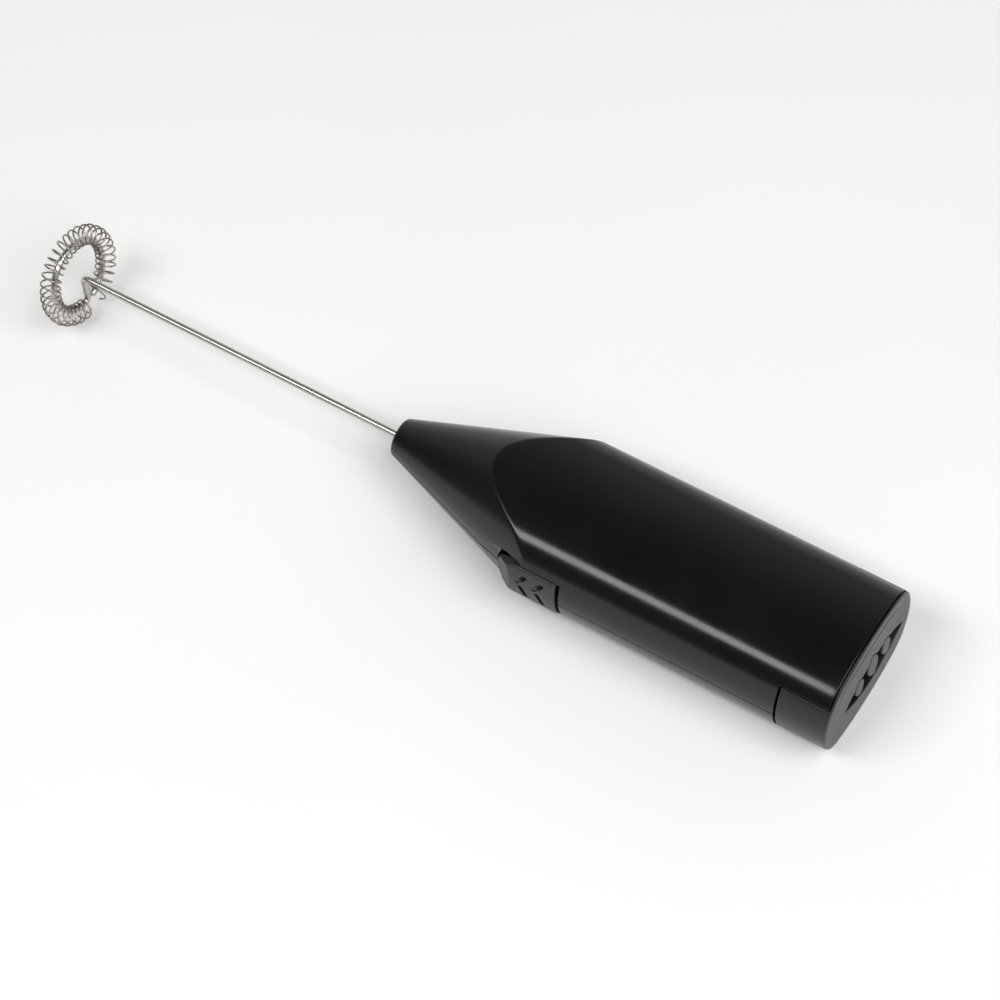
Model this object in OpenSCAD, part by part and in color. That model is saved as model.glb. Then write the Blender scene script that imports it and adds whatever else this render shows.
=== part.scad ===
// Battery milk frother: a two-shell handle with a pull-off end cap, two cells side by side,
// a small motor, and a wire whisk that spins on one straight shaft. Millimetres.
//
// Every piece is drawn on the working axis, which runs along X from the end cap's face at x = 0
// to the whisk. place() then lays the handle on its back: ground at z = 0, middle of the length at x = 0.

/* [Handle] */
// Width across the narrow sides
body_w = 36; // [35:0.5:38]
// Thickness between the broad faces
body_t = 25; // [24:0.5:27]
// Length from the cap's end face to the nose tip
body_len = 110.5; // [110:0.5:114]
// Wall thickness of both shells
wall = 1.8; // [1.6:0.1:1.9]
// Radius of the four long corners
corner_r = 8.2; // [7.8:0.1:8.6]
// How far a broad face bulges between its corners
face_crown = 1.2; // [0.8:0.1:1.4]
// How far a narrow side bulges between its corners
side_crown = 0.7; // [0.5:0.1:0.9]

/* [Nose] */
// Radius of the nose tip
nose_r = 4.2; // [4.2:0.1:5]
// Radius that the nose cone gains per millimetre back from the tip
nose_slope = 0.34; // [0.34:0.005:0.37]

/* [End cap] */
// Thickness of the flange that shows round the end
cap_flange = 0.4; // [0.4:0.1:1.2]
// Thickness of the cap's end wall
cap_plate = 2.6; // [2.4:0.1:2.7]
// Reach of the side tongues from the end face
tongue_len = 11.3; // [9:0.1:13]
// Half the height of a side tongue
tongue_half = 7.9; // [6:0.1:8]
// Length of the grip recess in the end face
grip_len = 24.5; // [22:0.5:25]
// Width of the grip recess at its middle
grip_w = 8.6; // [8:0.1:9]

/* [Slide switch] */
// Rear edge of the button, from the end face
switch_x = 62; // [62:0.1:62.4]
// Length of the button along the handle
switch_len = 15; // [14.8:0.1:15]
// Width of the button
switch_w = 11; // [9:0.1:11.4]
// Travel from off to on
switch_travel = 2.5; // [2:0.1:2.5]

/* [Cells] */
// Diameter of one cell
cell_d = 14.2; // [13.8:0.1:14.3]
// Length of one cell with its positive button
cell_len = 50.5; // [49.2:0.1:50.5]

/* [Motor] */
// Diameter of the motor can
can_d = 20.4; // [20:0.1:20.4]
// Height across the can's two flats
can_flat = 15.4; // [15:0.1:16]
// Length of the can
can_len = 20; // [19:0.1:20]

/* [Whisk] */
// Diameter of the shaft wire
wire_d = 1.5; // [1.2:0.1:1.6]
// Length of shaft between the nose tip and the whisk
shaft_out = 82; // [70:1:95]
// Radius of the ring that the coil follows
ring_r = 9.3; // [8:0.1:10.5]
// Outside diameter of the coil
coil_d = 4.8; // [4.2:0.1:5.2]
// Diameter of the coil's wire
coil_wire = 0.4; // [0.35:0.05:0.5]
// Turns of the coil round the ring
coil_turns = 32; // [24:1:36]
// Lean of the ring, its far side away from the handle
ring_tilt = 9; // [0:1:12]

/* [Hidden] */
$fn = 96;

eps = 0.01;         // overlap that joins features of one piece
far = 60;           // longer than any cut needs to be
fit_gap = 0.2;      // gap round the cap's spigot and tongues
slot_gap = 0.25;    // gap round the switch button
run_gap = 0.04;     // radial running clearance of a bearing
metal_t = 0.4;      // thickness of the sheet-metal contacts

// Handle section: four corner arcs, each tangent to one broad arc and one narrow-side arc
corner_y = body_w/2 - corner_r - side_crown;
corner_z = body_t/2 - corner_r - face_crown;
function arc_shift(half, crown) =
    (pow(corner_y, 2) + pow(corner_z, 2) - pow(half - corner_r, 2))/(2*crown);
face_shift = arc_shift(body_t/2, face_crown);
side_shift = arc_shift(body_w/2, side_crown);
face_r = face_shift + body_t/2;
side_r = side_shift + body_w/2;

// Stations along the axis
bridge_x = cap_plate + 0.3;
cell_a_x = 7.4;                               // flat end of cell A, button towards the nose
cell_b_x = 4.3;                               // button of cell B, flat end towards the nose
carrier_x = cell_a_x + cell_len + 0.7;
carrier_t = 1.6;
motor_x = carrier_x + carrier_t + 3;          // rear face of the motor's end bell
bell_len = 3.4;
can_x = motor_x + bell_len;
can_end = can_x + can_len;
coupling_x = can_end + 2.9;
coupling_len = 12;
joint_x = coupling_x + coupling_len/2;        // where motor shaft and whisk shaft meet
bush_x = body_len - 6.7;                      // step that the bush's flange rests on
spigot_end = 6.8;

cell_y = cell_d/2 + 0.25;
shaft_r = 1;                                  // motor shaft
bearing_r = 2.3;
bush_r = 2.5;
rotor_r = 7;
wire_r = wire_d/2;
bend_r = 1.6;                                 // bend from the shaft into the whisk's leg

leg_x = body_len + shaft_out;
coil_mid = (coil_d - coil_wire)/2;
core_r = ring_r - coil_mid + coil_wire/2 + wire_r + 0.05;
core_sweep = 348;
overall_len = leg_x + (core_r + ring_r)*sin(ring_tilt) + coil_d/2;

function unit(v) = v/norm(v);
function cone_radius(x) = nose_r + (body_len - x)*nose_slope;

module place() translate([-overall_len/2, 0, body_t/2]) children();

// Extrudes a section drawn in (Y, Z) from station x0 to station x1
module along(x0, x1) translate([x0, 0, 0]) rotate([90, 0, 90]) linear_extrude(x1 - x0) children();

// Round bar on the axis
module bar(x0, x1, r) translate([x0, 0, 0]) rotate([0, 90, 0]) cylinder(h = x1 - x0, r = r);

module tube(x0, x1, r, bore) difference() {
    bar(x0, x1, r);
    bar(x0 - 1, x1 + 1, bore);
}

// Box between two opposite corners
module block(a, b) translate(a) cube(b - a);

// ---- Handle ----

module outline(inset = 0) {
    face_half = corner_y*(face_r - inset)/(face_r - corner_r);
    side_half = corner_z*(side_r - inset)/(side_r - corner_r);
    for (s = [-1, 1]) {
        intersection() {
            translate([0, -s*face_shift]) circle(r = face_r - inset);
            translate([0, s*(body_t/2 - 1)]) square([2*face_half, body_t], center = true);
        }
        intersection() {
            translate([-s*side_shift, 0]) circle(r = side_r - inset);
            translate([s*(body_w/2 - 1), 0]) square([body_w, 2*side_half], center = true);
        }
    }
    for (y = [-corner_y, corner_y], z = [-corner_z, corner_z])
        translate([y, z]) circle(r = corner_r + eps - inset);
}

// The outer form: the long section, turned down to a cone at the nose
module form(x0, inset = 0, x1 = body_len) {
    tip_edge = 0.4;
    cone_inset = inset*sqrt(1 + nose_slope*nose_slope);
    intersection() {
        along(x0, x1) outline(inset);
        union() {
            rotate([0, 90, 0])
                cylinder(h = body_len - tip_edge, r1 = cone_radius(0) - cone_inset,
                         r2 = cone_radius(body_len - tip_edge) - cone_inset);
            translate([body_len - tip_edge - eps, 0, 0]) rotate([0, 90, 0])
                cylinder(h = tip_edge + eps, r1 = cone_radius(body_len - tip_edge) - cone_inset,
                         r2 = nose_r - tip_edge - cone_inset);
        }
    }
}

module motor_profile(inset = 0) intersection() {
    circle(r = can_d/2 - inset);
    square([can_d, can_flat - 2*inset], center = true);
}

// Cross ribs that cradle the cells
module cell_ribs() for (x = [16, 31, 46])
    along(x, x + 1.4) difference() {
        outline(wall - 0.4);
        for (y = [-cell_y, cell_y]) translate([y, 0]) circle(r = cell_d/2 + 0.3);
        square([2*cell_y, cell_d/2], center = true);
        square([body_w, 6], center = true);
    }

// Ledges that trap the contact carrier
module carrier_ledges() for (x = [carrier_x - 1.3, carrier_x + carrier_t + 0.1])
    along(x, x + 1.2) difference() {
        outline(wall - 0.4);
        outline(wall + 1.3);
    }

// Saddles that hold the motor
module motor_saddles() for (x = [can_x + 3, can_end - 4])
    along(x, x + 1.5) difference() {
        circle(r = cone_radius(x + 1.5) - 0.6);
        motor_profile(-0.05);
    }

// Room for the button, its flange and the contacts under it
module switch_room() {
    block([switch_x - 4, 10.4, -7.8], [switch_x + switch_len + 1, body_w/2 - wall - 0.9, 7.8]);
    block([switch_x - 0.6, 10.4, -7.8], [switch_x + 8.4, body_w/2 - wall, 7.8]);
}

module switch_slot() block([switch_x - 0.6, 12, -switch_w/2 - slot_gap],
                           [switch_x + switch_len + 0.4, body_w, switch_w/2 + slot_gap]);

module tongue_notches() for (side = [-1, 1]) scale([1, side, 1])
    block([0, body_w/2 - 6, -tongue_half - fit_gap], [tongue_len + 0.25, body_w, tongue_half + fit_gap]);

// Posts that meet at the parting plane: [station, offset across, radius]
posts = [[motor_x + 2, -13, 1.7], [can_x + 10.5, -12.3, 1.7], [97, -5, 1.4], [97, 5, 1.4]];

module seam_posts() intersection() {
    for (p = posts) translate([p[0], p[1], -body_t/2]) cylinder(h = body_t, r = p[2]);
    form(cap_flange + fit_gap, wall - 0.5);
}

module post_holes(r) for (p = posts) translate([p[0], p[1], -2]) cylinder(h = 4, r = r);

// Both shells in one, before they part at the middle plane
module shells() {
    difference() {
        union() {
            difference() {
                form(cap_flange + fit_gap);
                form(-1, wall, bush_x);
            }
            intersection() {
                difference() {
                    union() {
                        cell_ribs();
                        carrier_ledges();
                        motor_saddles();
                    }
                    switch_room();
                }
                form(0, wall - 0.5);
            }
            seam_posts();
        }
        tongue_notches();
        switch_slot();
        bar(bush_x - 1, body_len + 1, bush_r);
    }
}

module front_shell() color("#1c1c1e") {
    difference() {
        shells();
        block([-1, -far, -far], [body_len + 1, far, 0]);
    }
    for (p = posts) translate([p[0], p[1], -1.5]) cylinder(h = 1.5 + eps, r = 0.7);
}

module back_shell() color("#1c1c1e") difference() {
    shells();
    block([-1, -far, 0], [body_len + 1, far, far]);
    post_holes(0.75);
}

module nose_bush() color("gold") difference() {
    union() {
        bar(bush_x, body_len + 0.3, bush_r);
        bar(bush_x - 1.1, bush_x, bush_r + 1);
    }
    bar(bush_x - 2, body_len + 1, wire_r + run_gap);
}

// ---- End cap ----

// Pointed oval, drawn as the overlap of two arcs
module leaf(len, w) {
    arc_r = (len*len + w*w)/(4*w);
    intersection_for (s = [-1, 1]) translate([0, s*(arc_r - w/2)]) circle(r = arc_r);
}

// Three leaf pads across the grip recess, larger all round by grow
module grip_pads(grow) for (pad = [[-5.2, 0.4, 7, 3.5], [0.3, 0.9, 9.4, 4.2], [5.8, 0.4, 7, 3.5]])
    translate([pad[0], pad[1]]) rotate(80) leaf(pad[2] + 1.6*grow, pad[3] + grow);

// The recess, with a groove round each pad where it passes the recess's upper edge
module grip_recess() {
    depth = 1.4;
    along(-1, depth) translate([-2.4, -1.9]) difference() {
        union() {
            leaf(grip_len, grip_w);
            intersection() {
                grip_pads(1);
                translate([-far/2, 0]) square([far, far]);
            }
        }
        grip_pads(0);
    }
}

// Side tongues, each tied to the spigot by a web
module cap_tongues() intersection() {
    union() {
        along(cap_flange - eps, tongue_len) difference() {
            outline();
            outline(wall);
        }
        along(cap_flange - eps, spigot_end - 1) difference() {
            outline(wall/2);
            outline(wall + 0.8);
        }
    }
    for (side = [-1, 1]) scale([1, side, 1])
        block([0, corner_y, -tongue_half], [tongue_len, body_w, tongue_half]);
}

module cap_spigot() along(cap_flange - eps, spigot_end) difference() {
    outline(wall + fit_gap);
    outline(wall + 1.3);
}

module end_cap() color("#232326") {
    difference() {
        union() {
            along(0, cap_flange) outline();
            along(cap_flange - eps, cap_plate) outline(wall + fit_gap);
        }
        grip_recess();
    }
    cap_spigot();
    cap_tongues();
    for (y = [-cell_y, 0, cell_y], z = [-3.7, 3.7])
        block([cap_plate - eps, y - 2.2, z - 0.7], [bridge_x, y + 2.2, z + 0.7]);
}

// ---- Slide switch ----

// Side view of the button: flush top, a bevel down to the nose cone, and a lip over the slot's front
module button_side() {
    lip_y = cone_radius(switch_x + switch_len + 0.4) + 0.17;
    front = switch_x + switch_len;
    top = body_w/2 + 1;
    under = body_w/2 - 3.1;
    polygon([
        [switch_x, under], [front - 2.6, under], [front - 2.6, lip_y], [front, lip_y],
        [front - 4, lip_y + 2.4], [front - 4, top], [switch_x, top]
    ]);
}

module button_plan() {
    front_r = 12;
    intersection() {
        translate([switch_x, -switch_w/2]) square([switch_len, switch_w]);
        union() {
            translate([switch_x, -switch_w/2]) square([switch_len - 4, switch_w]);
            translate([switch_x + switch_len - front_r, 0]) circle(r = front_r);
        }
    }
}

// Debossed chevrons that point towards the whisk
module chevrons() for (x = [switch_x + 5.2, switch_x + 8.4], side = [-1, 1])
    translate([x, body_w/2 - 1.1, side*0.5]) rotate([0, -side*122, 0])
        translate([0, 0, -0.25]) cube([3.1, far, 0.5]);

module slide_switch() color("#2a2a2c") {
    difference() {
        intersection() {
            translate([0, 0, -switch_w/2]) linear_extrude(switch_w) button_side();
            rotate([-90, 0, 0]) linear_extrude(body_w) button_plan();
            along(switch_x - 1, switch_x + switch_len + 1) outline();
        }
        intersection() {
            chevrons();
            along(switch_x, switch_x + switch_len) difference() {
                outline(-1);
                outline(0.35);
            }
        }
    }
    intersection() {
        along(switch_x + 0.2, switch_x + 4.8) difference() {
            outline(wall + 0.2);
            outline(wall + 1.3);
        }
        block([switch_x, body_w/2 - wall - 2, -7.2], [switch_x + 6, body_w, 7.2]);
    }
}

// Bridge under the button that closes the circuit
module switch_contact() color("goldenrod") {
    block([switch_x + 2, 13.7, -4.4], [switch_x + 4.4, 14, 4.4]);
    block([switch_x + 2.6, 14 - eps, -1.2], [switch_x + 3.8, body_w/2 - 3.2, 1.2]);
}

// ---- Contacts and cells ----

module contact_carrier() color("#d8d4c8") difference() {
    along(carrier_x, carrier_x + carrier_t) outline(wall + 0.1);
    block([carrier_x - 1, 12.6, -7.8], [carrier_x + 3, body_w, 7.8]);
    block([carrier_x - 1, -11, -1.2], [carrier_x + 3, -11 + metal_t, 1.2]);
    for (y = [-3, 3]) translate([carrier_x - 1, y, 0]) rotate([0, 90, 0]) cylinder(h = 4, r = 0.8);
}

// Plate behind a cell's end
module cell_plate(y) block([carrier_x - metal_t, y - 4, -4], [carrier_x, y + 4, 4]);

// Front plate of cell A, whose leaf runs forward under the switch
module positive_contact() color("silver") {
    cell_plate(cell_y);
    block([carrier_x - metal_t, cell_y, -4.6], [carrier_x, 13.4, -1.6]);
    block([carrier_x - metal_t, 13.1, -4.6], [switch_x + 8, 13.4, -1.6]);
}

// Leaf from the switch back to the motor's first terminal
module motor_contact() color("silver") {
    back = carrier_x + carrier_t + 1.2;
    block([back, 11.9, 1.6], [switch_x + 5.2, 12.2, 4.6]);
    block([switch_x + 4.9, 11.9, 1.6], [switch_x + 5.2, 13.4, 4.6]);
    block([switch_x + 4.9, 13.1, 1.6], [switch_x + 9, 13.4, 4.6]);
    block([back, 5.9, 1.6], [back + metal_t, 12.2, 4.6]);
}

// Front plate of cell B, whose tab passes through the carrier
module negative_contact() color("silver") {
    cell_plate(-cell_y);
    block([carrier_x - metal_t, -11, -1.2], [carrier_x, -cell_y, 1.2]);
    block([carrier_x - metal_t, -11, -1.2], [carrier_x + carrier_t + 1, -11 + metal_t, 1.2]);
}

// Sheet bridge in the cap that joins the two cells, with a raised pad for cell B's button
module cap_bridge() color("silver") {
    block([bridge_x, -cell_y - 4.4, -4.4], [bridge_x + metal_t, cell_y + 4.4, 4.4]);
    translate([0, -cell_y, 0]) bar(bridge_x, cell_b_x - 0.1, 2.6);
}

// A wire swept along a path; each point's hint keeps the section from twisting
module wire(path, hints, r, sides = 6) {
    last = len(path) - 1;
    rings = [for (i = [0:last])
        let (t = unit(path[min(i + 1, last)] - path[max(i - 1, 0)]),
             n = unit(hints[i] - (hints[i]*t)*t),
             b = cross(t, n))
        each [for (k = [0:sides - 1]) path[i] + r*(cos(360*k/sides)*n + sin(360*k/sides)*b)]];
    walls = [for (i = [0:last - 1], k = [0:sides - 1])
        let (a = i*sides + k, c = i*sides + (k + 1)%sides)
        each [[a, a + sides, c], [c, a + sides, c + sides]]];
    ends = [[for (k = [0:sides - 1]) k], [for (k = [sides - 1:-1:0]) last*sides + k]];
    polyhedron(points = rings, faces = concat(walls, ends));
}

// Conical compression spring along the axis, wide end at x0
module cell_spring(x0, x1, y, wide, narrow, turns = 4) {
    steps = 16*turns;
    r = 0.35;
    function spoke(i) = [0, cos(360*i/16), sin(360*i/16)];
    function spot(i) = [x0 + (x1 - x0)*i/steps, y, 0] + (wide + (narrow - wide)*i/steps)*spoke(i);
    wire([for (i = [0:steps]) spot(i)], [for (i = [0:steps]) spoke(i)], r);
}

module cap_spring() color("silver")
    cell_spring(bridge_x + metal_t + 0.4, cell_a_x - 0.45, cell_y, 4.2, 2.4);

module front_spring() color("silver")
    cell_spring(carrier_x - metal_t - 0.4, cell_b_x + cell_len + 0.45, -cell_y, 4.2, 2.4, 3);

// One cell, flat end at x = 0 and button towards +x
module cell() {
    button_h = 1.2;
    difference() {
        union() {
            bar(0, cell_len - button_h, cell_d/2);
            bar(0, cell_len, 2.7);
        }
        tube(cell_len - button_h - 0.5, cell_len, cell_d/2 - 0.8, 4);
    }
}

module battery_a() color("#b8873a") translate([cell_a_x, cell_y, 0]) cell();
module battery_b() color("#b8873a") translate([cell_b_x + cell_len, -cell_y, 0]) rotate([0, 180, 0]) cell();

module negative_lead() color("#202020") {
    x = carrier_x + carrier_t + 1.4;
    bend = [for (a = [0:15:180]) [x, -8.05 - 2.3*cos(a), 1.25 + a/90 + 1.6*sin(a)]];
    wire(bend, [for (p = bend) [1, 0, 0]], 0.5, 8);
}

// ---- Motor ----

module motor_can() color("silver") difference() {
    union() {
        along(can_x, can_end) motor_profile();
        bar(can_end - eps, can_end + 1.6, 3);
    }
    along(can_x - 1, can_end - 0.8) motor_profile(0.5);
    bar(can_x, can_end + 2, bearing_r);
}

module motor_end_bell() color("#e8e4da") difference() {
    along(motor_x, can_x) motor_profile();
    along(motor_x + 1.4, can_x + 1) motor_profile(1.2);
    bar(motor_x - 1, can_x, bearing_r);
    terminal_tabs();
}

module terminal_tabs() for (side = [-1, 1])
    block([motor_x - 1.8, side > 0 ? 5.5 : -5.9, 0.8], [motor_x + 1.8, side > 0 ? 5.9 : -5.5, 3.2]);

module motor_terminals() color("goldenrod") {
    terminal_tabs();
    for (side = [-1, 1]) scale([1, side, 1])
        block([motor_x + 1.5, 2.85, 0.8], [motor_x + 1.8, 5.9, 3.2]);
}

// Leaf and carbon pad each side of the commutator
module motor_brushes() color("#4a4a4a") for (side = [-1, 1]) scale([1, side, 1]) {
    block([motor_x + 1.5, 2.6, -5], [motor_x + 3.2, 2.85, 5]);
    block([motor_x + 2, 2.1, -0.8], [motor_x + 3.2, 2.6 + eps, 0.8]);
}

module motor_magnets() color("#3a3a3a") for (side = [-1, 1]) scale([1, side, 1])
    along(can_x + 2, can_end - 2.1) intersection() {
        difference() {
            circle(r = can_d/2 - 0.55);
            circle(r = rotor_r + 0.4);
        }
        translate([3, -can_flat/2 + 0.55]) square([can_d, can_flat - 1.1]);
    }

module front_bearing() color("peru") tube(can_end - 1.2, can_end + 1.6, bearing_r, shaft_r + run_gap);
module rear_bearing() color("peru") tube(motor_x, motor_x + 1.4, bearing_r, shaft_r + run_gap);

module pole_arm() translate([1.5, -1.1]) square([4.7, 2.2]);

module rotor_core() color("slategray") along(can_x + 4.4, can_end - 4.6) difference() {
    union() {
        circle(r = 2.2);
        for (a = [0, 120, 240]) rotate(a) {
            pole_arm();
            intersection() {
                difference() {
                    circle(r = rotor_r);
                    circle(r = rotor_r - 1.2);
                }
                polygon([[0, 0], [far, -far*tan(44)], [far, far*tan(44)]]);
            }
        }
    }
    circle(r = shaft_r + 0.02);
}

module rotor_windings() color("orangered") for (a = [0, 120, 240]) rotate([a, 0, 0])
    difference() {
        intersection() {
            block([can_x + 3, 2.6, -2.8], [can_end - 3.2, 5.6, 2.8]);
            bar(can_x, can_end, rotor_r - 1.25);
        }
        block([can_x + 4.35, 0, -1.12], [can_end - 4.55, far, 1.12]);
    }

module commutator() color("goldenrod") difference() {
    tube(motor_x + 1.9, can_x + 2, 2, shaft_r);
    for (a = [0, 120, 240]) rotate([a, 0, 0])
        block([motor_x, 1.4, -0.15], [can_x + 3, far, 0.15]);
}

module motor_shaft() color("silver") bar(motor_x + 0.4, joint_x, shaft_r);

// ---- Whisk ----

module shaft_coupling() color("#e6e6e0") difference() {
    bar(coupling_x, coupling_x + coupling_len, 2.6);
    bar(coupling_x - 1, joint_x, shaft_r);
    bar(joint_x - eps, coupling_x + coupling_len + 1, wire_r);
}

// Frame of the leaning ring: its centre at the origin, its axis along X, its foot at -Z
module ring_frame() translate([leg_x, 0, -core_r]) rotate([0, ring_tilt, 0])
    translate([0, 0, core_r]) children();

// One wire: straight shaft, bend, leg, and the open ring that carries the coil
module whisk_wire() color("silver") {
    bar(joint_x, leg_x - bend_r, wire_r);
    translate([leg_x - bend_r, 0, -bend_r]) rotate([90, 0, 0]) rotate_extrude(angle = 90)
        translate([bend_r, 0]) circle(r = wire_r);
    translate([leg_x, 0, -core_r]) cylinder(h = core_r - bend_r, r = wire_r);
    translate([leg_x, 0, -core_r]) sphere(r = wire_r);
    ring_frame() rotate([0, 90, 0]) rotate_extrude(angle = core_sweep)
        translate([core_r, 0]) circle(r = wire_r);
}

// Fine coil wound round the open ring
module whisk_coil() {
    first = 8;
    last = core_sweep - 2;
    per_turn = 12;
    steps = coil_turns*per_turn;
    function ring_angle(i) = first + (last - first)*i/steps;
    function outward(i) = [0, sin(ring_angle(i)), -cos(ring_angle(i))];
    function spoke(i) = cos(360*i/per_turn)*outward(i) + sin(360*i/per_turn)*[1, 0, 0];
    path = [for (i = [0:steps]) ring_r*outward(i) + coil_mid*spoke(i)];
    hints = [for (i = [0:steps]) spoke(i)];
    color("silver") ring_frame() wire(path, hints, coil_wire/2);
}

place() front_shell();
place() back_shell();
place() end_cap();
place() slide_switch();
place() switch_contact();
place() contact_carrier();
place() positive_contact();
place() negative_contact();
place() motor_contact();
place() front_spring();
place() cap_bridge();
place() cap_spring();
place() battery_a();
place() battery_b();
place() motor_can();
place() motor_end_bell();
place() motor_magnets();
place() motor_brushes();
place() motor_terminals();
place() front_bearing();
place() rear_bearing();
place() rotor_core();
place() rotor_windings();
place() commutator();
place() motor_shaft();
place() shaft_coupling();
place() nose_bush();
place() negative_lead();
place() whisk_wire();
place() whisk_coil();
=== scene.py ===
import math
import random

import bpy
import numpy as np
from mathutils import Matrix, Vector


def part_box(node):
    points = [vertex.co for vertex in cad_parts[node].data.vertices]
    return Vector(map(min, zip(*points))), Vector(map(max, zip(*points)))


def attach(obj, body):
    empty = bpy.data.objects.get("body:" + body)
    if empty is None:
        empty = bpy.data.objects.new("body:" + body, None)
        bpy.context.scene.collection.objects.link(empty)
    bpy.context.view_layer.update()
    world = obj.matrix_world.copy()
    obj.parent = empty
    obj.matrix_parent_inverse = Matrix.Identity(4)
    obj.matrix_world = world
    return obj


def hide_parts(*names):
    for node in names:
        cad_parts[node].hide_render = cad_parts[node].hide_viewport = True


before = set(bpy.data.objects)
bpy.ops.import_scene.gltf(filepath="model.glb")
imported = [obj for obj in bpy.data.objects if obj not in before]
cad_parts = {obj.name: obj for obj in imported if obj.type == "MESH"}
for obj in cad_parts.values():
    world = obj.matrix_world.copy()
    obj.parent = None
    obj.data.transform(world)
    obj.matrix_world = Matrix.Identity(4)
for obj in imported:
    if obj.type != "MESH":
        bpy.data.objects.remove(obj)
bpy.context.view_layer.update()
random.seed(7)

# Shapes are worked out in millimetres on the shaft's own axis: x = 0 at the cap's end face, +X to the whisk,
# z up from the axis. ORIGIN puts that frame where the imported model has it.
ORIGIN = Vector((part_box("end_cap")[0].x, 0.0, (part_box("front_shell")[1].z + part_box("back_shell")[0].z)/2))
MM = 0.001

# ---- the handle's form, as in the CAD ----
BODY_W, BODY_T, BODY_LEN = 36.0, 25.0, 110.5
CORNER_R, FACE_CROWN, SIDE_CROWN = 8.2, 1.2, 0.7
NOSE_R, NOSE_SLOPE = 4.2, 0.34
CORNER_Y = BODY_W/2 - CORNER_R - SIDE_CROWN
CORNER_Z = BODY_T/2 - CORNER_R - FACE_CROWN


def arc_shift(half, crown):
    return (CORNER_Y**2 + CORNER_Z**2 - (half - CORNER_R)**2)/(2*crown)


FACE_SHIFT, SIDE_SHIFT = arc_shift(BODY_T/2, FACE_CROWN), arc_shift(BODY_W/2, SIDE_CROWN)
FACE_R, SIDE_R = FACE_SHIFT + BODY_T/2, SIDE_SHIFT + BODY_W/2


def outline_rho(theta):
    """Distance from the axis to the long section's outline in direction theta, 0 = +Y, 90 degrees = +Z."""
    c, s = np.abs(np.cos(theta)), np.abs(np.sin(theta))
    angle = np.arctan2(s, c)

    def hit(cy, cz, r):
        along = c*cy + s*cz
        return along + np.sqrt(np.maximum(along**2 - cy**2 - cz**2 + r**2, 0))

    def tangent(cy, cz, r):
        d = np.array([CORNER_Y - cy, CORNER_Z - cz])
        p = np.array([cy, cz]) + r*d/np.linalg.norm(d)
        return math.atan2(p[1], p[0])

    side_end = tangent(-SIDE_SHIFT, 0, SIDE_R)
    face_start = tangent(0, -FACE_SHIFT, FACE_R)
    return np.where(angle < side_end, hit(-SIDE_SHIFT, 0, SIDE_R),
                    np.where(angle > face_start, hit(0, -FACE_SHIFT, FACE_R), hit(CORNER_Y, CORNER_Z, CORNER_R)))


def cone_rho(x):
    return NOSE_R + (BODY_LEN - x)*NOSE_SLOPE


def soft_min(a, b, k):
    h = np.maximum(k - np.abs(a - b), 0)/k
    return np.minimum(a, b) - h*h*k/4


def form_rho(theta, x, k=0.12):
    return soft_min(outline_rho(theta), cone_rho(x) + 0*theta, k)


def angle_at(z, x):
    """Angle on the +Y side at which the form stands z above the axis."""
    lo, hi = np.zeros(np.broadcast(z, x).shape), np.full(np.broadcast(z, x).shape, math.pi/2)
    for _ in range(40):
        mid = (lo + hi)/2
        low = form_rho(mid, x)*np.sin(mid) < z
        lo, hi = np.where(low, mid, lo), np.where(low, hi, mid)
    return (lo + hi)/2


def rounded(d, r):
    """How far a surface falls back at distance d from an edge of radius r."""
    d = np.clip(d, 0, r)
    return r - np.sqrt(np.maximum(r*r - (r - d)**2, 0))


def outside_box(x, z, x0, x1, z1):
    """Distance from (x, z) to the hole x0..x1, |z| < z1."""
    dx = np.maximum(np.maximum(x0 - x, x - x1), 0)
    dz = np.maximum(np.abs(z) - z1, 0)
    return np.hypot(dx, dz)


# The CAD's own edges, which the cores below are drawn back from
CAD_RECESS_DEPTH = 1.4
CAD_SHELL_X = 0.6
CAD_NOTCH_X, CAD_NOTCH_Z = 11.55, 8.1
CAD_TONGUE_X, CAD_TONGUE_Z = 11.3, 7.9
LEAF_Y, LEAF_Z = -2.4, -1.9     # middle of the grip recess


# ---- meshes ----
def to_row(p):
    return np.asarray(p, float)*MM + np.array(ORIGIN)


def add_mesh(name, verts, faces):
    mesh = bpy.data.meshes.new(name)
    mesh.from_pydata(to_row(verts).tolist(), [], [list(map(int, f)) for f in faces])
    mesh.validate()
    mesh.update()
    mesh.shade_smooth()
    obj = bpy.data.objects.new(name, mesh)
    bpy.context.scene.collection.objects.link(obj)
    return obj


def sharpen(obj, degrees):
    obj.data.set_sharp_from_angle(angle=math.radians(degrees))
    return obj


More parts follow.
